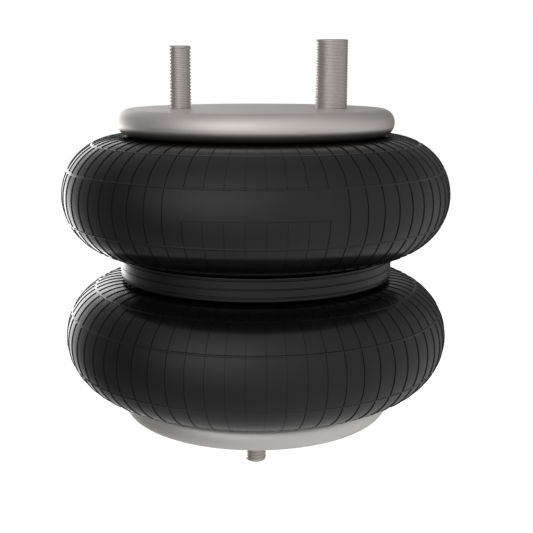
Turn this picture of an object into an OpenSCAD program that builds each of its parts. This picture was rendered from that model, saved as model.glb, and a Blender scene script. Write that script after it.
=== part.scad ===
// Double convoluted air spring: two steel bead plates crimped round the beads of a
// two-ply rubber bellows, with a girdle hoop at its waist and a rubber bumper inside.
// The origin is the centre of the lower plate's outer face, and +Z runs up the axis.

/* [Overall] */
// Height between the outer faces of the two bead plates
height = 184.3; // [172:0.1:205]
// Outer diameter of each crimped bead plate
plate_d = 163.4; // [158:0.2:168]
// Distance that the convolutions stand out past the edges of the plates
bellows_reach = 33.3; // [29.5:0.1:37]

/* [Bead plates] */
// Thickness of the flat of a bead plate
plate_t = 3; // [2:0.1:4]
// Depth of the rim that is rolled round the bead
rim_h = 15.4; // [15.2:0.1:16.5]
// Thickness of the steel in the rolled rim and its lip
lip_t = 2.5; // [2:0.1:3]
// Outer radius of the roll at the lip
curl_r = 7.2; // [6.4:0.1:7.5]
// Outer radius between the flat and the rim
corner_r = 7.8; // [6:0.1:8]

/* [Bellows wall] */
// Thickness of the outer rubber cover
cover_t = 2; // [1.4:0.1:2.4]
// Thickness of the outer cord ply
outer_ply_t = 1.2; // [0.8:0.1:1.6]
// Thickness of the inner cord ply
inner_ply_t = 1.2; // [0.8:0.1:1.6]
// Thickness of the inner liner
liner_t = 1.5; // [1:0.1:2.5]
// Thickness of the bond line between two layers
bond = 0.1; // [0.05:0.01:0.15]
// Latitude on a lobe of the two ridges next to its crown
ridge_lat_mid = 26.5; // [22:0.5:34]
// Latitude on a lobe of the two ridges next to its roots
ridge_lat_end = 61.7; // [54:0.1:68]
// Width of a moulded ridge
ridge_w = 1.3; // [0.8:0.1:2.5]
// Height of a moulded ridge
ridge_h = 0.4; // [0.2:0.05:0.8]

/* [Name pad] */
// Angle round the axis that the bare pad on the upper lobe covers
pad_span = 37.6; // [20:0.2:60]
// Latitude of the lower edge of the pad
pad_lat_low = -1.2; // [-8:0.2:6]
// Latitude of the upper edge of the pad
pad_lat_high = 24.8; // [14:0.2:25.2]
// Height of the pad above the cover
pad_h = 0.3; // [0.1:0.05:0.6]

/* [Waist and girdle] */
// Distance of the bellows at its waist, under the girdle, inside the edges of the plates
waist_inset = 7.2; // [5.8:0.1:8.6]
// Radius of the bend in the cover beside the girdle
waist_bend_r = 3; // [2.2:0.1:3.6]
// Height that the lobe clears the edge of the girdle by
waist_relief = 2.1; // [1:0.1:3]
// Thickness of the girdle, out from the waist
girdle_t = 7.1; // [6:0.1:8.5]
// Height of the girdle
girdle_h = 12.6; // [12:0.1:15]
// Radius of the three grooves round the girdle
girdle_groove_r = 0.5; // [0.2:0.05:0.9]
// Distance of the outer grooves from the edges of the girdle
girdle_groove_inset = 1.7; // [1.4:0.1:2.6]
// Chamfer on the outer edges of the girdle
girdle_chamfer = 0.7; // [0.2:0.1:0.8]
// Diameter of one wire in the girdle hoop
girdle_wire_d = 1.9; // [1.2:0.1:2]
// Number of wires across the girdle hoop
girdle_wires_across = 2; // [1:1:2]
// Number of wires up the girdle hoop
girdle_wires_up = 5; // [3:1:5]

/* [Beads] */
// Diameter of one wire in a bead strand
bead_wire_d = 1.4; // [0.8:0.1:1.5]
// Thickness of the fabric wrapped round a bead strand
bead_wrap_t = 0.55; // [0.3:0.05:0.6]
// Gap between the bellows and the steel that grips it
seat_gap = 0.3; // [0.2:0.05:0.35]

/* [Upper studs] */
// Distance between the two upper studs
stud_spacing = 89; // [80:0.5:100]
// Thread diameter of the blind stud
blind_stud_d = 12.7; // [10:0.1:16]
// Length of the blind stud above the plate
blind_stud_l = 36; // [20:0.5:60]
// Thread diameter of the combination stud that carries the air port
port_stud_d = 19.05; // [16:0.05:22]
// Length of the combination stud above the plate
port_stud_l = 39.5; // [25:0.5:60]
// Diameter of the tapped air port
port_d = 11.1; // [8:0.1:12]
// Depth of the tapped air port
port_depth = 15; // [8:0.5:20]
// Diameter of the air passage below the port
passage_d = 8; // [4:0.1:8]

/* [Lower stud] */
// Thread diameter of the lower stud
low_stud_d = 12.7; // [10:0.1:16]
// Length of the lower stud below the plate
low_stud_l = 36.5; // [20:0.5:60]
// Diameter of the spigot that holds the bumper
spigot_d = 10; // [8:0.1:12]
// Length of the spigot above the flange of the lower stud
spigot_l = 21; // [18:0.5:28]

/* [Stud details] */
// Width of the shoulder that a stud has in the plate, beyond its thread
shoulder_w = 0.75; // [0.4:0.05:1.5]
// Gap round a shoulder in its hole
shoulder_gap = 0.15; // [0.05:0.05:0.3]
// Chamfer on the tip of a stud
tip_chamfer = 1.2; // [0.5:0.1:2]
// Width of a stud's flange beyond its thread
flange_w = 5.5; // [3.5:0.1:6]
// Thickness of a stud's flange
flange_t = 4.5; // [3:0.1:5]
// Leg of the fillet weld round a flange
weld_leg = 2.5; // [1.5:0.1:3]

/* [Bumper] */
// Height of the bumper
bumper_h = 92.5; // [70:0.5:94]
// Diameter of the bumper at its foot
bumper_foot_d = 72; // [66:0.5:90]
// Diameter of the bumper at its top
bumper_top_d = 43; // [36:0.5:46]
// Diameter of the bulge half way up the bumper
bumper_bulge_d = 60; // [54:0.5:68]
// Radius of the two grooves round the bumper
bumper_groove_r = 5; // [3:0.1:6]
// Distance between the two grooves round the bumper
bumper_groove_gap = 20; // [14:0.5:24]
// Thickness of the rubber over the edge of the steel insert
bumper_roof_t = 3; // [2:0.1:5]
// Diameter of the well down the middle of the bumper
well_d = 26; // [25.4:0.1:30]
// Diameter of the steel insert moulded in the foot
insert_d = 56; // [44:0.5:60]
// Thickness of the steel insert
insert_t = 3; // [2:0.1:4]
// Height of the steel insert above the foot of the bumper
insert_lift = 9; // [8.5:0.1:12]
// Diameter of the clamping washer
washer_d = 24; // [21.5:0.1:24.6]
// Thickness of the clamping washer
washer_t = 2.5; // [1.5:0.1:4]
// Width of the clamping nut across its flats
nut_af = 16; // [15:0.1:18]
// Height of the clamping nut
nut_h = 8; // [5:0.1:9]
// Gap between the spigot and what sits on it
spigot_gap = 0.2; // [0.1:0.05:0.4]

/* [Hidden] */
$fn = 96;

rubber = "dimgray";
cord_fabric = "tan";
steel = "silver";
wire = "goldenrod";

mid_z = height / 2;
plate_r = plate_d / 2;
bellows_r = plate_r + bellows_reach;
// Centre of the rounded end of the lip, and of the bend in the cover round it
lip_x = plate_r - curl_r;
lip_z = height - rim_h + lip_t / 2;
lip_bend_r = lip_t / 2 + seat_gap;
neck_r = lip_x - lip_bend_r;
neck_top_z = height - plate_t - seat_gap;

// Block of rubber that fills the rolled rim, with the bead strand in its middle
block_in_x = neck_r - cover_t;
block_out_x = plate_r - lip_t - seat_gap;
block_foot_z = height - rim_h + lip_t + seat_gap;
bead_x = (block_in_x + block_out_x) / 2;
bead_z = (block_foot_z + neck_top_z) / 2;

// The upper lobe runs level out of both bends into a half circle at its crown
lobe_top_z = lip_z - lip_bend_r;
lobe_low_z = mid_z + girdle_h / 2 + waist_relief;
lobe_r = (lobe_top_z - lobe_low_z) / 2;
lobe_z = (lobe_top_z + lobe_low_z) / 2;
lobe_x = bellows_r - lobe_r;

// Centre of the bend in the cover beside the girdle
waist_r = plate_r - waist_inset;
waist_x = waist_r + waist_bend_r;
waist_z = lobe_low_z - waist_bend_r;

// Depth of each layer below the surface of the cover
outer_ply_in = cover_t + bond;
inner_ply_in = outer_ply_in + outer_ply_t + bond;
liner_in = inner_ply_in + inner_ply_t + bond;
wall_t = liner_in + liner_t;

// Bead strand of one wire with six round it, and the fabric round that
bead_pitch = bead_wire_d + bond / 2;
wrap_in_r = bead_pitch + bead_wire_d / 2 + bond;
wrap_out_r = wrap_in_r + bead_wrap_t;

// Pocket for the wires of the girdle hoop
girdle_pitch = girdle_wire_d + bond / 2;
pocket_w = girdle_wires_across * girdle_pitch + bond;
pocket_h = girdle_wires_up * girdle_pitch + bond;
girdle_r = waist_r + girdle_t;
pocket_x = (waist_r + girdle_r) / 2;

inner_face = plate_t + flange_t;
well_z = plate_t + insert_lift + insert_t;
bumper_top_z = plate_t + bumper_h;
far = 4 * bellows_r;
// Distance that a cut runs on beyond the face it opens
cut = 1;

// Shapes in the plane of the profile: x is the radius and y is the height

module box(x0, y0, x1, y1) {
    translate([x0, y0]) square([x1 - x0, y1 - y0]);
}

// Wedge of the plane between two directions from the centre
module sector(from, to) {
    steps = ceil((to - from) / 60);
    turn = (to - from) / steps;
    rim = [for (i = [0:steps]) far * [cos(from + i * turn), sin(from + i * turn)]];
    polygon(concat([[0, 0]], rim));
}

// Piece of a ring between two radii and two directions
module arc_band(x, y, r_in, r_out, from, to) {
    translate([x, y]) intersection() {
        difference() {
            circle(r_out);
            circle(r_in);
        }
        sector(from, to);
    }
}

// Bit outside a rounded corner; it is cut from a square corner at [x, y]
module corner_bit(x, y, r, to_x, to_y) {
    translate([x - to_x * r, y - to_y * r]) difference() {
        translate([min(to_x, 0) * (r + cut), min(to_y, 0) * (r + cut)]) square(r + cut);
        circle(r);
    }
}

module upper_and_lower() {
    children();
    translate([0, height]) mirror([0, 1]) children();
}

// Everything inside the surface that lies at a depth below that of the cover
module inside_wall(depth) {
    box(0, height - lobe_z, waist_r - depth, lobe_z);
    upper_and_lower() {
        box(0, lobe_z, neck_r - depth, neck_top_z);
        box(0, lobe_low_z + depth, lobe_x, lobe_top_z - depth);
        translate([lobe_x, lobe_z]) circle(lobe_r - depth);
        difference() {
            box(neck_r - wall_t, lobe_top_z - wall_t, lip_x, lip_z);
            translate([lip_x, lip_z]) circle(lip_bend_r + depth);
        }
        difference() {
            box(waist_r - wall_t, waist_z, waist_x, lobe_low_z + wall_t);
            translate([waist_x, waist_z]) circle(waist_bend_r + depth);
        }
    }
}

module wall_layer(depth, t) {
    difference() {
        inside_wall(depth);
        inside_wall(depth + t);
        box(-cut, 0, neck_r - wall_t - cut, height);
    }
}

module bead_block() {
    difference() {
        box(block_in_x, block_foot_z, block_out_x, neck_top_z);
        corner_bit(block_out_x, block_foot_z, curl_r - lip_t - seat_gap, 1, -1);
        corner_bit(block_out_x, neck_top_z, corner_r - plate_t - seat_gap, 1, 1);
    }
}

module ridge(latitude) {
    half = ridge_w / lobe_r * 90 / PI;
    arc_band(lobe_x, lobe_z, lobe_r - bond, lobe_r + ridge_h, latitude - half, latitude + half);
}

module rim_profile() {
    foot_z = height - rim_h;
    difference() {
        box(0, foot_z, plate_r, height);
        corner_bit(plate_r, height, corner_r, 1, 1);
        corner_bit(plate_r, foot_z, curl_r, 1, -1);
        box(-cut, foot_z - cut, lip_x, foot_z + lip_t + cut);
        difference() {
            box(-cut, foot_z + lip_t, plate_r - lip_t, height - plate_t);
            corner_bit(plate_r - lip_t, foot_z + lip_t, curl_r - lip_t, 1, -1);
            corner_bit(plate_r - lip_t, height - plate_t, corner_r - plate_t, 1, 1);
        }
    }
    translate([lip_x, lip_z]) circle(lip_t / 2);
}

// Solids

module to_bottom() {
    translate([0, 0, height]) mirror([0, 0, 1]) children();
}

module bead_plate() {
    color(steel) rotate_extrude() rim_profile();
}

// Strand of one wire with six laid round it
module bead_strand() {
    color(wire) {
        rotate_extrude() translate([bead_x, bead_z]) circle(d = bead_wire_d);
        for (i = [0:5]) {
            rotate_extrude()
                translate([bead_x + bead_pitch * cos(60 * i), bead_z + bead_pitch * sin(60 * i)])
                    circle(d = bead_wire_d);
        }
    }
}

module bead_wrap() {
    color(cord_fabric) rotate_extrude() translate([bead_x, bead_z]) difference() {
        circle(wrap_out_r);
        circle(wrap_in_r);
    }
}

module bellows_cover() {
    color(rubber) union() {
        rotate_extrude() difference() {
            union() {
                wall_layer(0, cover_t);
                upper_and_lower() {
                    bead_block();
                    for (latitude = [ridge_lat_mid, ridge_lat_end]) {
                        ridge(latitude);
                        ridge(-latitude);
                    }
                }
            }
            upper_and_lower() translate([bead_x, bead_z]) circle(wrap_out_r + seat_gap);
        }
        rotate([0, 0, 270 - pad_span / 2]) rotate_extrude(angle = pad_span)
            arc_band(lobe_x, lobe_z, lobe_r - bond, lobe_r + pad_h, pad_lat_low, pad_lat_high);
    }
}

module bellows_outer_ply() {
    color(cord_fabric) rotate_extrude() wall_layer(outer_ply_in, outer_ply_t);
}

module bellows_inner_ply() {
    color(cord_fabric) rotate_extrude() wall_layer(inner_ply_in, inner_ply_t);
}

module bellows_liner() {
    color(rubber) rotate_extrude() wall_layer(liner_in, liner_t);
}

module girdle_cover() {
    low = mid_z - girdle_h / 2;
    high = mid_z + girdle_h / 2;
    in_x = waist_r + bond;
    in_corner = waist_bend_r - bond;
    c = girdle_chamfer;
    color(rubber) rotate_extrude() difference() {
        polygon([[in_x, low], [girdle_r - c, low], [girdle_r, low + c],
                 [girdle_r, high - c], [girdle_r - c, high], [in_x, high]]);
        for (side = [-1, 1]) {
            corner_bit(in_x, mid_z + side * (girdle_h / 2 + waist_relief), in_corner, -1, side);
            translate([girdle_r, mid_z + side * (girdle_h / 2 - girdle_groove_inset)])
                circle(girdle_groove_r);
        }
        translate([girdle_r, mid_z]) circle(girdle_groove_r);
        translate([pocket_x, mid_z]) square([pocket_w, pocket_h], center = true);
    }
}

module girdle_wire_hoop() {
    color(wire) for (i = [0:girdle_wires_across - 1], j = [0:girdle_wires_up - 1]) {
        x = pocket_x + (i - (girdle_wires_across - 1) / 2) * girdle_pitch;
        z = mid_z + (j - (girdle_wires_up - 1) / 2) * girdle_pitch;
        rotate_extrude() translate([x, z]) circle(d = girdle_wire_d);
    }
}

// Stud that stands up from the outer face of a plate, with its flange inside
module stud(d, l) {
    rotate_extrude() polygon([
        [0, -inner_face], [d / 2 + flange_w, -inner_face], [d / 2 + flange_w, -plate_t],
        [d / 2 + shoulder_w, -plate_t], [d / 2 + shoulder_w, 0], [d / 2, 0],
        [d / 2, l - tip_chamfer], [d / 2 - tip_chamfer, l], [0, l]
    ]);
}

module stud_hole(d) {
    translate([0, 0, -plate_t - cut])
        cylinder(d = d + 2 * (shoulder_w + shoulder_gap), h = plate_t + 2 * cut);
}

module stud_weld(d) {
    foot_x = d / 2 + flange_w;
    color(steel) rotate_extrude() polygon([
        [foot_x, -plate_t], [foot_x, -plate_t - weld_leg], [foot_x + weld_leg, -plate_t]
    ]);
}

module at_blind_stud() {
    translate([-stud_spacing / 2, 0, height]) children();
}

module at_port_stud() {
    translate([stud_spacing / 2, 0, height]) children();
}

module at_low_stud() {
    mirror([0, 0, 1]) children();
}

module top_bead_plate() {
    color(steel) difference() {
        bead_plate();
        at_blind_stud() stud_hole(blind_stud_d);
        at_port_stud() stud_hole(port_stud_d);
    }
}

module bottom_bead_plate() {
    color(steel) difference() {
        to_bottom() bead_plate();
        at_low_stud() stud_hole(low_stud_d);
    }
}

module top_bead_core() { bead_strand(); }

module bottom_bead_core() { to_bottom() bead_strand(); }

module top_bead_wrap() { bead_wrap(); }

module bottom_bead_wrap() { to_bottom() bead_wrap(); }

module blind_stud() {
    color(steel) at_blind_stud() stud(blind_stud_d, blind_stud_l);
}

module blind_stud_weld() { at_blind_stud() stud_weld(blind_stud_d); }

module combination_stud() {
    color(steel) at_port_stud() difference() {
        stud(port_stud_d, port_stud_l);
        translate([0, 0, -inner_face - cut]) cylinder(d = passage_d, h = inner_face + port_stud_l);
        translate([0, 0, port_stud_l - port_depth]) cylinder(d = port_d, h = port_depth + cut);
    }
}

module combination_stud_weld() { at_port_stud() stud_weld(port_stud_d); }

module bottom_stud() {
    color(steel) {
        at_low_stud() stud(low_stud_d, low_stud_l);
        translate([0, 0, inner_face]) cylinder(d = spigot_d, h = spigot_l);
    }
}

module bottom_stud_weld() { at_low_stud() stud_weld(low_stud_d); }

// The bumper stands on the plate, over the flange of the lower stud and its weld
module bumper() {
    flange_r = low_stud_d / 2 + flange_w;
    foot_r = bumper_foot_d / 2;
    bulge_r = bumper_bulge_d / 2;
    top_r = bumper_top_d / 2;
    groove_r = bumper_groove_r;
    shelf_z = well_z + bumper_roof_t;
    low_z = shelf_z + groove_r;
    color(rubber) rotate_extrude() difference() {
        polygon([[0, plate_t], [foot_r, plate_t], [foot_r, shelf_z], [bulge_r, low_z],
                 [bulge_r, low_z + bumper_groove_gap], [top_r, bumper_top_z], [0, bumper_top_z]]);
        for (z = [low_z, low_z + bumper_groove_gap]) {
            translate([bulge_r + groove_r / 2, z]) circle(groove_r);
        }
        polygon([[-cut, plate_t - cut], [flange_r + weld_leg + cut + seat_gap, plate_t - cut],
                 [flange_r + seat_gap, plate_t + weld_leg + seat_gap],
                 [flange_r + seat_gap, inner_face + seat_gap], [-cut, inner_face + seat_gap]]);
        box(-cut, inner_face, spigot_d / 2 + spigot_gap, well_z);
        box(-cut, well_z, well_d / 2, bumper_top_z + cut);
        box(-cut, plate_t + insert_lift - bond, insert_d / 2 + bond, well_z);
    }
}

module bumper_insert() {
    color(steel) translate([0, 0, plate_t + insert_lift]) difference() {
        cylinder(d = insert_d, h = insert_t);
        translate([0, 0, -cut]) cylinder(d = spigot_d + 2 * spigot_gap, h = insert_t + 2 * cut);
    }
}

module bumper_washer() {
    color(steel) translate([0, 0, well_z]) difference() {
        cylinder(d = washer_d, h = washer_t);
        translate([0, 0, -cut]) cylinder(d = spigot_d + 2 * spigot_gap, h = washer_t + 2 * cut);
    }
}

module bumper_nut() {
    color(steel) translate([0, 0, well_z + washer_t]) difference() {
        cylinder(d = nut_af / cos(30), h = nut_h, $fn = 6);
        translate([0, 0, -cut]) cylinder(d = spigot_d + spigot_gap, h = nut_h + 2 * cut);
    }
}

bottom_bead_plate();
bottom_stud();
bottom_stud_weld();
bottom_bead_core();
bottom_bead_wrap();
bumper();
bumper_insert();
bumper_washer();
bumper_nut();
bellows_cover();
bellows_outer_ply();
bellows_inner_ply();
bellows_liner();
girdle_cover();
girdle_wire_hoop();
top_bead_plate();
top_bead_core();
top_bead_wrap();
blind_stud();
blind_stud_weld();
combination_stud();
combination_stud_weld();
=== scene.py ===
import math

import bmesh
import bpy
from mathutils import Matrix, Vector


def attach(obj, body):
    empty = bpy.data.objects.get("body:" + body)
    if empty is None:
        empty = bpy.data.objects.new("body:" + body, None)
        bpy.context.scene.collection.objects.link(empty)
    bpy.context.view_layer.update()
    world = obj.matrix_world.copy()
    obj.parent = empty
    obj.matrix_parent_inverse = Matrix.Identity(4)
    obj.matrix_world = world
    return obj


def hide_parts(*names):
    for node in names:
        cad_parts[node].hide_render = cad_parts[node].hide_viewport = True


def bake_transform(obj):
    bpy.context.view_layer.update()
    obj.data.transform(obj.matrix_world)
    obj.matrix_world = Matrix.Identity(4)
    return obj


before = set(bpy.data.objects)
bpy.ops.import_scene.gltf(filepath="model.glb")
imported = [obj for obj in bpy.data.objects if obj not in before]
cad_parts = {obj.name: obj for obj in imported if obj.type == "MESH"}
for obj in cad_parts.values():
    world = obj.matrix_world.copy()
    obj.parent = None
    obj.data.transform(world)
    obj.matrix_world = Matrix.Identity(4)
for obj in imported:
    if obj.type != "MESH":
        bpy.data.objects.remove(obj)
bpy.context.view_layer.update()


# Camera
# It stands 0.58 m in front of the spring's axis, a little above the upper plate, and
# looks down 11.7 degrees. The shift holds the spring a little left of the middle.
look_down = 11.66
camera = bpy.data.objects.new("camera", bpy.data.cameras.new("camera"))
camera.location = (0, -0.5761, 0.2074)
camera.rotation_euler = (math.radians(90 - look_down), 0, 0)
camera.data.lens = 64.9
camera.data.sensor_width = 36
camera.data.shift_x = 0.0200
camera.data.clip_start = 0.01
bpy.context.scene.collection.objects.link(camera)
bpy.context.scene.camera = camera
bpy.context.scene.view_settings.view_transform = "Standard"


# Studio
# A white room with a pale floor well below the hanging spring, and round the spring
# a tent of grey cloth that only its surfaces see. The cloth glows softly: brightest
# over the camera's left shoulder and in a strip behind on the left.
room_fill = 0.6
floor_r, floor_z = 8, -0.8
tent_r, tent_z = 0.7, 0.09
tent_grey = 0.59
tent_spots = [
    # azimuth (0 is the front, positive to the right), elevation, sharpness, strength
    (-27, 27, 5.8, 0.73),  # main light, over the camera's left shoulder
    (-142, -3, 30, 2.58),  # strip behind on the left, from its outer end inwards
    (-153, 13, 60, 2.21),
    (-159, -17, 34, 3.15),
    (-170, 1, 60, 2.56),
    (170, 7, 10.4, 0.83),  # soft inner end of the strip
    (-80, 10, 1.5, -0.55),  # wide shade on the left
    (-108, -39, 16.4, -0.17),  # shade low on the left
    (164, 2, 5.9, -0.98),  # shade behind on the right
    (117, 45, 5.5, -0.28),  # shade high on the right
    (-99, 4, 10.5, 0.09),  # faint lift beside the left edge
]


def new_material(name, kind="ShaderNodeBsdfPrincipled"):
    """A material with one shader: the material, its nodes, its links and the shader."""
    material = bpy.data.materials.new(name)
    material.use_nodes = True
    nodes, links = material.node_tree.nodes, material.node_tree.links
    nodes.clear()
    shader = nodes.new(kind)
    output = nodes.new("ShaderNodeOutputMaterial")
    links.new(shader.outputs[0], output.inputs["Surface"])
    return material, nodes, links, shader


def as_object(name, bm, material):
    """A finished mesh in its one material."""
    mesh = bpy.data.meshes.new(name)
    bm.to_mesh(mesh)
    bm.free()
    mesh.materials.append(material)
    piece = bpy.data.objects.new(name, mesh)
    bpy.context.scene.collection.objects.link(piece)
    return piece


def rays_that_see(nodes, links):
    """1 for the rays that show the background: camera, glossy and transmission rays."""
    path = nodes.new("ShaderNodeLightPath")
    seen = path.outputs["Is Camera Ray"]
    for ray in ("Is Glossy Ray", "Is Transmission Ray"):
        either = nodes.new("ShaderNodeMath")
        either.operation = "MAXIMUM"
        links.new(seen, either.inputs[0])
        links.new(path.outputs[ray], either.inputs[1])
        seen = either.outputs[0]
    return seen


world = bpy.data.worlds.new("white_room")
bpy.context.scene.world = world
world.use_nodes = True
nodes, links = world.node_tree.nodes, world.node_tree.links
nodes.clear()
room = nodes.new("ShaderNodeBackground")
room.inputs["Color"].default_value = (1, 1, 1, 1)
level = nodes.new("ShaderNodeMapRange")
level.inputs["To Min"].default_value = room_fill
links.new(rays_that_see(nodes, links), level.inputs["Value"])
links.new(level.outputs["Result"], room.inputs["Strength"])
links.new(room.outputs[0], nodes.new("ShaderNodeOutputWorld").inputs["Surface"])

floor_paint, nodes, links, paint = new_material("pale_floor", "ShaderNodeBsdfDiffuse")
paint.inputs["Color"].default_value = (0.9, 0.9, 0.9, 1)
lift = nodes.new("ShaderNodeEmission")
links.new(rays_that_see(nodes, links), lift.inputs["Strength"])
lift.inputs["Color"].default_value = (0.6, 0.6, 0.6, 1)
both = nodes.new("ShaderNodeAddShader")
links.new(paint.outputs[0], both.inputs[0])
links.new(lift.outputs[0], both.inputs[1])
links.new(both.outputs[0], nodes["Material Output"].inputs["Surface"])
bm = bmesh.new()
bmesh.ops.create_circle(bm, cap_ends=True, segments=96, radius=floor_r)
bmesh.ops.translate(bm, verts=bm.verts, vec=(0, 0, floor_z))
as_object("floor", bm, floor_paint)

# The cloth's glow is the plain grey, plus each spot, which falls off away from its middle
tent_cloth, nodes, links, glow = new_material("tent_cloth", "ShaderNodeEmission")
coords = nodes.new("ShaderNodeTexCoord")
outward = nodes.new("ShaderNodeVectorMath")
outward.operation = "NORMALIZE"
links.new(coords.outputs["Object"], outward.inputs[0])
total = None
for azimuth, elevation, sharpness, strength in tent_spots:
    turn, rise = math.radians(azimuth), math.radians(elevation)
    towards = nodes.new("ShaderNodeVectorMath")
    towards.operation = "DOT_PRODUCT"
    towards.inputs[1].default_value = (math.sin(turn) * math.cos(rise), -math.cos(turn) * math.cos(rise),
                                       math.sin(rise))
    links.new(outward.outputs["Vector"], towards.inputs[0])
    fall = nodes.new("ShaderNodeMath")
    fall.operation = "MULTIPLY_ADD"
    fall.inputs[1].default_value = sharpness
    fall.inputs[2].default_value = -sharpness
    links.new(towards.outputs["Value"], fall.inputs[0])
    spot = nodes.new("ShaderNodeMath")
    spot.operation = "EXPONENT"
    links.new(fall.outputs[0], spot.inputs[0])
    add = nodes.new("ShaderNodeMath")
    add.operation = "MULTIPLY_ADD"
    add.inputs[1].default_value = strength
    add.inputs[2].default_value = tent_grey
    links.new(spot.outputs[0], add.inputs[0])
    if total:
        links.new(total, add.inputs[2])
    total = add.outputs[0]
links.new(total, glow.inputs["Strength"])
glow.inputs["Color"].default_value = (1, 1, 1, 1)
bm = bmesh.new()
bmesh.ops.create_uvsphere(bm, u_segments=64, v_segments=32, radius=tent_r)
tent = as_object("tent", bm, tent_cloth)
tent.location = (0, 0, tent_z)
tent.visible_camera = False
tent.visible_shadow = False


# Bead plates
# Two round pressings of 3 mm steel with a satin zinc finish, warmer on the upper one.
# Their rims are rolled over the beads of the bellows in a press, which leaves the lip
# turned in. The upper finish has painted shade towards its lip, standing in for the shadow between rim and
# lobe.
height = 0.1843  # over the outer faces of the two plates
plate_t = 0.003


def ramp(nodes, links, value, stops):
    """A colour ramp of greys or colours, fed by value; stops are (place, colour)."""
    node = nodes.new("ShaderNodeValToRGB")
    elements = node.color_ramp.elements
    while len(elements) < len(stops):
        elements.new(0.5)
    for element, (place, colour) in zip(elements, stops):
        element.position = place
        element.color = (*colour, 1) if isinstance(colour, tuple) else (colour,) * 3 + (1,)
    links.new(value, node.inputs["Fac"])
    return node.outputs["Color"]


def noise(nodes, links, coords, scale, detail):
    """A cloud or a grain that is fixed to the piece."""
    node = nodes.new("ShaderNodeTexNoise")
    node.inputs["Scale"].default_value = scale
    node.inputs["Detail"].default_value = detail
    links.new(coords.outputs["Object"], node.inputs["Vector"])
    return node.outputs["Fac"]


def emboss(nodes, links, shader, pattern, strength, relief):
    """Raises the surface a little where the pattern is light."""
    bump = nodes.new("ShaderNodeBump")
    bump.inputs["Strength"].default_value = strength
    bump.inputs["Distance"].default_value = relief
    links.new(pattern, bump.inputs["Height"])
    links.new(bump.outputs["Normal"], shader.inputs["Normal"])


def metal(name, dark, light, rough, grain, relief, bare=1):
    """Satin metal: colour and gloss wander a little, over a fine grain. A dull coating lowers bare."""
    material, nodes, links, shader = new_material(name)
    shader.inputs["Metallic"].default_value = bare
    coords = nodes.new("ShaderNodeTexCoord")
    cloud = noise(nodes, links, coords, 35, 4)
    wander = 0.03
    colour = ramp(nodes, links, cloud, [(0.3, dark), (0.7, light)])
    gloss = ramp(nodes, links, cloud, [(0.3, rough - wander), (0.7, rough + wander)])
    links.new(colour, shader.inputs["Base Color"])
    links.new(gloss, shader.inputs["Roughness"])
    emboss(nodes, links, shader, noise(nodes, links, coords, grain, 3), 0.4, relief)
    return material


def paint_lip_shade(material, stops):
    """Paints shade into a finish towards a tucked-in lip, for the shadow between rim and lobe; stops are
    (height, share of the colour that stays).
    """
    nodes, links = material.node_tree.nodes, material.node_tree.links
    colour = nodes["Principled BSDF"].inputs["Base Color"]
    coords = nodes.new("ShaderNodeTexCoord")
    axes = nodes.new("ShaderNodeSeparateXYZ")
    links.new(coords.outputs["Object"], axes.inputs[0])
    low, high = stops[0][0], stops[-1][0]
    span = nodes.new("ShaderNodeMapRange")
    span.inputs["From Min"].default_value = low
    span.inputs["From Max"].default_value = high
    links.new(axes.outputs["Z"], span.inputs["Value"])
    shares = [((z - low) / (high - low), share) for z, share in stops]
    # Painted shade: the colour is multiplied down by the ramp on height, darkest at the lip
    painted_shade = nodes.new("ShaderNodeVectorMath")
    painted_shade.operation = "MULTIPLY"
    links.new(colour.links[0].from_socket, painted_shade.inputs[0])
    links.new(ramp(nodes, links, span.outputs["Result"], shares), painted_shade.inputs[1])
    links.new(painted_shade.outputs["Vector"], colour)


def dress(node, material):
    """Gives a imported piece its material."""
    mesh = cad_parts[node].data
    mesh.materials.clear()
    mesh.materials.append(material)


warm_zinc = metal("warm_zinc", (0.845, 0.79, 0.755), (0.885, 0.83, 0.795), 0.43, 1500, 0.000008, 0.87)
# Painted shade on the upper plate, darkest at its lip, for the shadow between rim and lobe
paint_lip_shade(warm_zinc, [(0.1690, 0.13), (0.1708, 0.27), (0.1724, 0.44), (0.1736, 0.78), (0.1747, 1)])
cool_zinc = metal("cool_zinc", (0.845, 0.83, 0.79), (0.885, 0.87, 0.83), 0.42, 1500, 0.000008, 0.76)
dress("top_bead_plate", warm_zinc)
dress("bottom_bead_plate", cool_zinc)


# Studs
# Turned and rolled steel studs, each set through its plate from inside: a coarse
# thread on the two half inch ones, a fine one on the three quarter inch one, which
# is drilled and tapped for the air line.
half_inch, coarse_pitch = 0.0127, 0.001954
three_quarter_inch, fine_pitch = 0.01905, 0.0015875
stud_x = 0.0445  # of the two upper studs, either side of the axis
shoulder_w, flange_w, flange_t = 0.00075, 0.0055, 0.0045  # widths are beyond the thread
spigot_r, spigot_l = 0.005, 0.021
tip_band, tip_chamfer = 0.0013, 0.0007
mouth_r, mouth_h = 0.0068, 0.0007  # countersink of the port
port_r, port_depth, passage_r = 0.00555, 0.015, 0.004
tapping_pitch, tapping_cut, tapping_lift = 0.00141, 0.0006, 0.002


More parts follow.
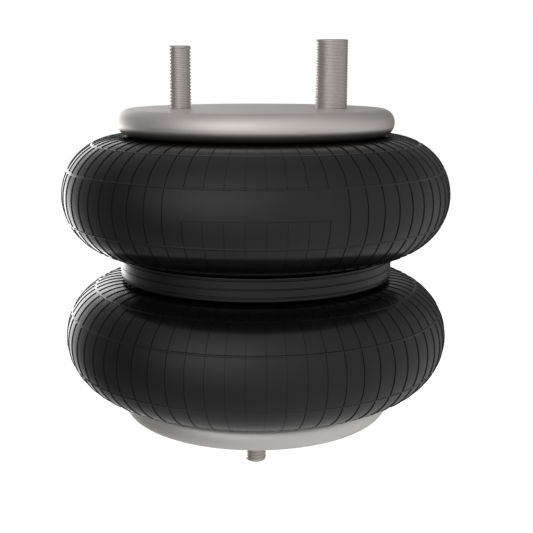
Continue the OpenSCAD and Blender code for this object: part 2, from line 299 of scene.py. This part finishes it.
def thread_wall(crest_r, root_r, pitch, foot, tip):
    """One tooth swept up its helix and cut square at both ends, as an open wall."""
    bm = bmesh.new()
    start = foot - pitch
    per_turn = 48
    turns = math.ceil((tip - foot) / pitch) + 2
    vert = bm.verts.new((root_r, 0, start))
    for r, share in ((root_r, 0.12), (crest_r, 0.40), (crest_r, 0.60), (root_r, 0.88), (root_r, 1.0)):
        vert = bmesh.ops.extrude_vert_indiv(bm, verts=[vert])["verts"][0]
        vert.co = (r, 0, start + share * pitch)
    bmesh.ops.spin(bm, geom=bm.verts[:] + bm.edges[:], cent=(0, 0, 0), axis=(0, 0, 1),
                   dvec=(0, 0, pitch / per_turn), angle=2 * math.pi * turns, steps=turns * per_turn)
    bmesh.ops.remove_doubles(bm, verts=bm.verts, dist=1e-6)
    bmesh.ops.bisect_plane(bm, geom=bm.verts[:] + bm.edges[:] + bm.faces[:], dist=1e-7,
                           plane_co=(0, 0, foot), plane_no=(0, 0, 1), clear_inner=True)
    bmesh.ops.bisect_plane(bm, geom=bm.verts[:] + bm.edges[:] + bm.faces[:], dist=1e-7,
                           plane_co=(0, 0, tip), plane_no=(0, 0, 1), clear_outer=True)
    return bm


def open_edges(bm, z):
    """The open edges that lie at height z."""
    return [edge for edge in bm.edges
            if len(edge.link_faces) == 1 and all(abs(v.co.z - z) < 1e-6 for v in edge.verts)]


def draw_out(bm, edges, places):
    """Carries an open loop of edges on through rings, each a radius and a height: the last ring's edges."""
    for radius, z in places:
        made = bmesh.ops.extrude_edge_only(bm, edges=edges)["geom"]
        ring = {v for v in made if isinstance(v, bmesh.types.BMVert)}
        for v in ring:
            scale = radius / math.hypot(v.co.x, v.co.y)
            v.co = (v.co.x * scale, v.co.y * scale, z)
        edges = [e for e in made if isinstance(e, bmesh.types.BMEdge) and ring.issuperset(e.verts)]
    return edges


def stud_mesh(thread_d, pitch, depth, length, has_spigot, has_port):
    """A stud along +Z from its plate's face at 0: thread above, shoulder and flange below."""
    crest = thread_d / 2
    bm = thread_wall(crest, crest - depth, pitch, 0, length)
    # The thread runs out into a plain band at full width, with a small chamfer above it
    for v in bm.verts:
        below_tip = length - v.co.z
        if below_tip < tip_band:
            scale = (crest - max(0, tip_chamfer - below_tip)) / math.hypot(v.co.x, v.co.y)
            v.co.x, v.co.y = v.co.x * scale, v.co.y * scale
    shoulder, flange = crest + shoulder_w, crest + flange_w
    inner_face = -plate_t - flange_t
    rings = [(shoulder, 0), (shoulder, -plate_t), (flange, -plate_t), (flange, inner_face)]
    if has_spigot:
        rings += [(spigot_r, inner_face), (spigot_r, inner_face - spigot_l)]
    below = draw_out(bm, open_edges(bm, 0), rings)
    tip = open_edges(bm, length)
    if has_port:
        # The port is tapped too, so its wall is a thread that points inwards
        foot = length - port_depth
        tapped_foot, tapped_top = foot + tapping_lift, length - mouth_h
        tapping = thread_wall(port_r, port_r + tapping_cut, tapping_pitch, tapped_foot, tapped_top)
        mesh = bpy.data.meshes.new("tapping")
        tapping.to_mesh(mesh)
        tapping.free()
        bm.from_mesh(mesh)
        bpy.data.meshes.remove(mesh)
        tip = draw_out(bm, tip, [(mouth_r, length)])
        bmesh.ops.bridge_loops(bm, edges=tip + open_edges(bm, tapped_top))
        below = draw_out(bm, below, [(passage_r, inner_face), (passage_r, foot), (port_r, foot)])
        bmesh.ops.bridge_loops(bm, edges=below + open_edges(bm, tapped_foot))
    else:
        bmesh.ops.edgeloop_fill(bm, edges=tip)
        bmesh.ops.edgeloop_fill(bm, edges=below)
    bmesh.ops.recalc_face_normals(bm, faces=bm.faces)
    return bm


def smooth_all(piece):
    """Smooth faces all over."""
    piece.data.polygons.foreach_set("use_smooth", [True] * len(piece.data.polygons))


def shade_by_angle(piece, degrees=32):
    """Smooth faces that break at the sharp edges."""
    smooth_all(piece)
    bm = bmesh.new()
    bm.from_mesh(piece.data)
    for edge in bm.edges:
        edge.smooth = len(edge.link_faces) == 2 and edge.calc_face_angle(0) < math.radians(degrees)
    bm.to_mesh(piece.data)
    bm.free()


zinc_stud = metal("zinc_stud", (0.67, 0.635, 0.61), (0.70, 0.665, 0.64), 0.36, 2200, 0.000002, 0.9)
studs = [
    # piece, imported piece, body, diameter, pitch, thread depth, length, place, points down, spigot, port
    ("lower_stud", "bottom_stud", "bottom_plate", half_inch, coarse_pitch, 0.0008, 0.0365,
     (0, 0, 0), True, True, False),
    ("plain_stud", "blind_stud", "top_plate", half_inch, coarse_pitch, 0.0006, 0.036,
     (-stud_x, 0, height), False, False, False),
    ("ported_stud", "combination_stud", "top_plate", three_quarter_inch, fine_pitch, 0.00045, 0.0395,
     (stud_x, 0, height), False, False, True),
]
for name, node, body, thread_d, pitch, depth, length, place, down, has_spigot, has_port in studs:
    bm = stud_mesh(thread_d, pitch, depth, length, has_spigot, has_port)
    if down:
        bmesh.ops.rotate(bm, verts=bm.verts, cent=(0, 0, 0), matrix=Matrix.Rotation(math.pi, 3, "X"))
    bmesh.ops.translate(bm, verts=bm.verts, vec=place)
    piece = as_object(name, bm, zinc_stud)
    shade_by_angle(piece)
    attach(piece, body)
    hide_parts(node)


# Stud welds
# A fillet of weld runs round each stud's flange, on the inner face of its plate.
# It is left as welded, dull grey with a fine ripple.
weld_bead = metal("weld_bead", (0.30, 0.28, 0.26), (0.44, 0.42, 0.40), 0.5, 700, 0.0002)
for node in ("bottom_stud_weld", "blind_stud_weld", "combination_stud_weld"):
    dress(node, weld_bead)


# Bumper
# A moulded rubber stop stands on the lower plate. A steel disc in its foot takes
# the load of a nut and washer on the lower stud's spigot, which clamp it down.
def rubber(name, dark, light, rough, grain, relief):
    """Near black rubber: a faint cloud in colour and gloss over a fine skin."""
    material, nodes, links, shader = new_material(name)
    coords = nodes.new("ShaderNodeTexCoord")
    cloud = noise(nodes, links, coords, 28, 5)
    wander = 0.02
    colour = ramp(nodes, links, cloud, [(0.3, dark), (0.7, light)])
    gloss = ramp(nodes, links, cloud, [(0.35, rough - wander), (0.65, rough + wander)])
    links.new(colour, shader.inputs["Base Color"])
    links.new(gloss, shader.inputs["Roughness"])
    emboss(nodes, links, shader, noise(nodes, links, coords, grain, 4), 0.35, relief)
    return material


bumper_rubber = rubber("bumper_rubber", (0.018, 0.018, 0.019), (0.028, 0.028, 0.029), 0.6, 900, 0.00008)
insert_steel = metal("insert_steel", (0.40, 0.40, 0.41), (0.48, 0.48, 0.49), 0.42, 900, 0.00003)
bright_zinc = metal("bright_zinc", (0.60, 0.60, 0.59), (0.70, 0.70, 0.68), 0.30, 1400, 0.00002)
dress("bumper", bumper_rubber)
dress("bumper_insert", insert_steel)
dress("bumper_washer", bright_zinc)
dress("bumper_nut", bright_zinc)


# Beads
# A strand of seven copper washed steel wires runs round in each rolled rim, bound
# in rubbered fabric. It is what the rim grips, so the bellows can't pull out.
def woven(name, dark, light, fineness):
    """Rubbered cloth: two sets of threads that cross each other."""
    material, nodes, links, shader = new_material(name)
    shader.inputs["Roughness"].default_value = 0.8
    coords = nodes.new("ShaderNodeTexCoord")
    weaves = []
    for direction in ("X", "Z"):
        wave = nodes.new("ShaderNodeTexWave")
        wave.bands_direction = direction
        wave.inputs["Scale"].default_value = fineness
        wave.inputs["Distortion"].default_value = 0.4
        links.new(coords.outputs["Object"], wave.inputs["Vector"])
        weaves.append(wave.outputs["Fac"])
    cross = nodes.new("ShaderNodeMath")
    cross.operation = "MULTIPLY"
    links.new(weaves[0], cross.inputs[0])
    links.new(weaves[1], cross.inputs[1])
    colour = ramp(nodes, links, cross.outputs[0], [(0.1, dark), (0.6, light)])
    links.new(colour, shader.inputs["Base Color"])
    emboss(nodes, links, shader, cross.outputs[0], 1, 0.0001)
    return material


bead_wire = metal("bead_wire", (0.58, 0.46, 0.30), (0.70, 0.56, 0.38), 0.32, 1800, 0.00002)
bead_cloth = woven("bead_cloth", (0.10, 0.085, 0.065), (0.30, 0.26, 0.20), 900)
for end in ("bottom", "top"):
    dress(end + "_bead_core", bead_wire)
    dress(end + "_bead_wrap", bead_cloth)


# Bellows wall
# Each lobe is four layers moulded together: a rubber cover, two plies of cord and
# a rubber liner. They leave the rim round its lip, swell out into a half round
# crown and turn back in to the waist, level with the girdle.
bellows_r = 0.115
neck_top_z = 0.181
lip_x, lip_z, lip_bend_r = 0.0745, 0.17015, 0.00155
lobe_top_z, lobe_low_z = 0.1686, 0.10055
lobe_r, lobe_z = (lobe_top_z - lobe_low_z) / 2, (lobe_top_z + lobe_low_z) / 2
lobe_x = bellows_r - lobe_r
waist_bend_r = 0.003
waist_x, waist_z = 0.0775, lobe_low_z - waist_bend_r
bend_steps = 6
# Rows of the crown where it is smooth, as latitudes in degrees
even_rows = list(range(84, -91, -6))


def straight(bm, vert, x, z):
    """An edge from vert to a point of the profile."""
    new = bmesh.ops.extrude_vert_indiv(bm, verts=[vert])["verts"][0]
    new.co = (x, 0, z)
    return new


def arc(bm, vert, centre_x, centre_z, degrees, steps):
    """An arc of edges from vert round a centre; positive turns from up to outwards."""
    return bmesh.ops.spin(bm, geom=[vert], cent=(centre_x, 0, centre_z), axis=(0, 1, 0), dvec=(0, 0, 0),
                          angle=math.radians(degrees), steps=steps)["geom_last"][0]


def wall_face(bm, depth, crown_rows):
    """Profile of the upper lobe at a depth in its wall, from rim to waist: its first and last points."""
    first = vert = bm.verts.new((lip_x - lip_bend_r - depth, 0, neck_top_z))
    vert = straight(bm, vert, lip_x - lip_bend_r - depth, lip_z)
    vert = arc(bm, vert, lip_x, lip_z, -90, bend_steps)
    vert = straight(bm, vert, lobe_x, lobe_z + lobe_r - depth)
    latitude = 90
    for row in crown_rows:
        vert = arc(bm, vert, lobe_x, lobe_z, latitude - row, 1)
        latitude = row
    vert = straight(bm, vert, waist_x, waist_z + waist_bend_r + depth)
    vert = arc(bm, vert, waist_x, waist_z, -90, bend_steps)
    last = straight(bm, vert, waist_x - waist_bend_r - depth, height / 2)
    return first, last


def lobe_layer(depth, thickness, outer_rows, inner_rows):
    """Closed profile of one layer of the upper lobe, as edges."""
    bm = bmesh.new()
    first, last = wall_face(bm, depth, outer_rows)
    inner_first, inner_last = wall_face(bm, depth + thickness, inner_rows)
    bm.edges.new((first, inner_first))
    bm.edges.new((last, inner_last))
    return bm


def turn_round(bm, steps):
    """Turns a closed profile all the way round the spring's axis."""
    bmesh.ops.spin(bm, geom=bm.verts[:] + bm.edges[:], cent=(0, 0, 0), axis=(0, 0, 1), dvec=(0, 0, 0),
                   angle=2 * math.pi, steps=steps, use_merge=True)


def mirror_down(bm):
    """Makes the lower lobe from the upper one."""
    bmesh.ops.scale(bm, verts=bm.verts, vec=(1, 1, -1))
    bmesh.ops.translate(bm, verts=bm.verts, vec=(0, 0, height))


def hang_lobe(piece, which, node):
    """Bakes a lobe's place into its mesh and hides the imported piece that it stands in for."""
    if which == "lower":
        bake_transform(piece)
    else:
        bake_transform(piece)
    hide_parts(node)


cord_ply = woven("cord_ply", (0.16, 0.13, 0.09), (0.42, 0.36, 0.26), 700)
liner_rubber = rubber("liner_rubber", (0.020, 0.020, 0.021), (0.032, 0.032, 0.033), 0.55, 700, 0.00006)
inner_layers = [
    # name, depth in the wall, thickness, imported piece, material, slot
    ("outer_ply", 0.0021, 0.0012, "bellows_outer_ply", cord_ply, "ply_fabric"),
    ("inner_ply", 0.0034, 0.0012, "bellows_inner_ply", cord_ply, "ply_fabric"),
    ("liner", 0.0047, 0.0015, "bellows_liner", liner_rubber, "liner_rubber"),
]
for name, depth, thickness, node, material, slot in inner_layers:
    for which in ("lower", "upper"):
        bm = lobe_layer(depth, thickness, even_rows, even_rows)
        turn_round(bm, 128)
        if which == "lower":
            mirror_down(bm)
        bmesh.ops.recalc_face_normals(bm, faces=bm.faces)
        piece = as_object(which + "_" + name, bm, material)
        smooth_all(piece)
        hang_lobe(piece, which, node)


# Bellows cover
# The outer rubber of each lobe is moulded with 67 thin ribs that run over the
# crown, four raised rings that cross them, and on the upper lobe a bare raised pad.
# Places on a lobe are in degrees: azimuth from the front, latitude from the crown.
cover_t = 0.002
rib_count = 67
rib_pitch = 360 / rib_count
rib_half, rib_top_half, rib_height, rib_fade = 0.11, 0.07, 0.00043, 0.4
ring_half = 1.1
ring_heights = {61.7: 0.00015, 26.5: 0.00036, -26.5: 0.00036, -61.7: 0.00015}
pad_half_span, pad_low, pad_high, pad_height = 3.5 * rib_pitch, -1.2, 24.9, 0.0003
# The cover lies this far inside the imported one, so that the ribs end up level with it
cover_sink = 0.0003

# Rows of the crown: every three degrees, closer at each ring and at the pad's two long edges
ring_rows = (-2.1, -1.5, -1.1, -0.55, 0, 0.55, 1.1, 1.5, 2.1)
ring_clear = 2.6
pad_rows = (-1.4, -1.0, 24.8)
crown_rows = set(pad_rows)
for centre in ring_heights:
    crown_rows |= {centre + step for step in ring_rows}
for row in range(-90, 90, 3):
    if all(abs(row - centre) > ring_clear for centre in ring_heights):
        crown_rows.add(row)
crown_rows = sorted(crown_rows, reverse=True)


def swell(azimuth, latitude, padded):
    """How far the moulding lifts the cover at a place, in metres."""
    lift = -cover_sink
    for centre, ring_height in ring_heights.items():
        lift += ring_height * max(0, 1 - ((latitude - centre) / ring_half) ** 2)
    if padded and abs(azimuth) < pad_half_span - rib_half / 2 and pad_low < latitude < pad_high:
        return lift + pad_height
    off_rib = (azimuth - rib_pitch / 2) % rib_pitch
    off_rib = min(off_rib, rib_pitch - off_rib)
    if off_rib < (rib_half + rib_top_half) / 2:
        off_ring = min(abs(latitude - centre) for centre in ring_heights)
        lift += rib_height * min(1, max(0, (off_ring - ring_half) / rib_fade))
    return lift


def mould_cover(which):
    """A lobe's cover: one rib's share of it is swept, repeated all round and then moulded."""
    bm = lobe_layer(0, cover_t, crown_rows, even_rows)
    geom = bm.verts[:] + bm.edges[:]
    # The spin turns the profile from +X, and the first rib's edge starts there
    start = math.radians(-90 + rib_pitch / 2 - rib_half)
    bmesh.ops.rotate(bm, verts=bm.verts, cent=(0, 0, 0), matrix=Matrix.Rotation(start, 3, "Z"))
    flank, top, plain = rib_half - rib_top_half, 2 * rib_top_half, rib_pitch - 2 * rib_half
    for width, steps in ((flank, 1), (top, 1), (flank, 1), (plain, 3)):
        geom = bmesh.ops.spin(bm, geom=geom, cent=(0, 0, 0), axis=(0, 0, 1), dvec=(0, 0, 0),
                              angle=math.radians(width), steps=steps)["geom_last"]
    bmesh.ops.spin(bm, geom=bm.verts[:] + bm.edges[:] + bm.faces[:], cent=(0, 0, 0), axis=(0, 0, 1),
                   dvec=(0, 0, 0), angle=math.radians(360 - rib_pitch), steps=rib_count - 1,
                   use_duplicate=True)
    bmesh.ops.remove_doubles(bm, verts=bm.verts, dist=2e-6)
    # Only the outer face of the crown is lifted
    for v in bm.verts:
        out = math.hypot(v.co.x, v.co.y)
        from_centre = Vector((out - lobe_x, v.co.z - lobe_z))
        if out > lobe_x - 1e-6 and abs(from_centre.length - lobe_r) < 2e-6:
            azimuth = math.degrees(math.atan2(v.co.x, -v.co.y))
            latitude = math.degrees(math.atan2(from_centre.y, from_centre.x))
            lift = swell(azimuth, latitude, which == "upper")
            scale = (out + from_centre.x / lobe_r * lift) / out
            v.co = (v.co.x * scale, v.co.y * scale, v.co.z + from_centre.y / lobe_r * lift)
    if which == "lower":
        mirror_down(bm)
    bmesh.ops.recalc_face_normals(bm, faces=bm.faces)
    return bm


cover_rubber = rubber("cover_rubber", (0.0055, 0.0055, 0.0057), (0.008, 0.008, 0.0083), 0.20, 1600, 0.000008)
for which in ("lower", "upper"):
    piece = as_object(which + "_cover", mould_cover(which), cover_rubber)
    shade_by_angle(piece)
    hang_lobe(piece, which, "bellows_cover")


# Girdle
# A hoop of ten steel wires moulded into a rubber band sits in the waist and keeps the
# air from pushing it out. Three fine grooves run round its face, and its inner corners
# are cut back, so that the lobes have room to turn against them.
girdle_in_r, girdle_r, girdle_half = 0.0745, 0.0816, 0.0066
girdle_bevel, girdle_edge_r = 0.002, 0.0004
groove_r, groove_heights = 0.0005, (0.0051, 0.0003, -0.0043)

middle = height / 2
girdle_top, girdle_foot = middle + girdle_half, middle - girdle_half
bm = bmesh.new()
first = bm.verts.new((girdle_in_r, 0, girdle_foot + girdle_bevel))
vert = straight(bm, first, girdle_in_r, girdle_top - girdle_bevel)
vert = straight(bm, vert, girdle_in_r + girdle_bevel, girdle_top)
vert = straight(bm, vert, girdle_r - girdle_edge_r, girdle_top)
vert = arc(bm, vert, girdle_r - girdle_edge_r, girdle_top - girdle_edge_r, 90, 4)
for groove in groove_heights:
    vert = straight(bm, vert, girdle_r, middle + groove + groove_r)
    vert = arc(bm, vert, girdle_r, middle + groove, -180, 8)
vert = straight(bm, vert, girdle_r, girdle_foot + girdle_edge_r)
vert = arc(bm, vert, girdle_r - girdle_edge_r, girdle_foot + girdle_edge_r, 90, 4)
vert = straight(bm, vert, girdle_in_r + girdle_bevel, girdle_foot)
bm.edges.new((vert, first))
turn_round(bm, 256)
bmesh.ops.recalc_face_normals(bm, faces=bm.faces)
band_rubber = rubber("girdle_rubber", (0.0045, 0.0045, 0.0047), (0.006, 0.006, 0.0062), 0.20, 1600, 0.000008)
piece = as_object("girdle_band", bm, band_rubber)
shade_by_angle(piece)
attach(piece, "girdle")
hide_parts("girdle_cover")
dress("girdle_wire_hoop", bead_wire)
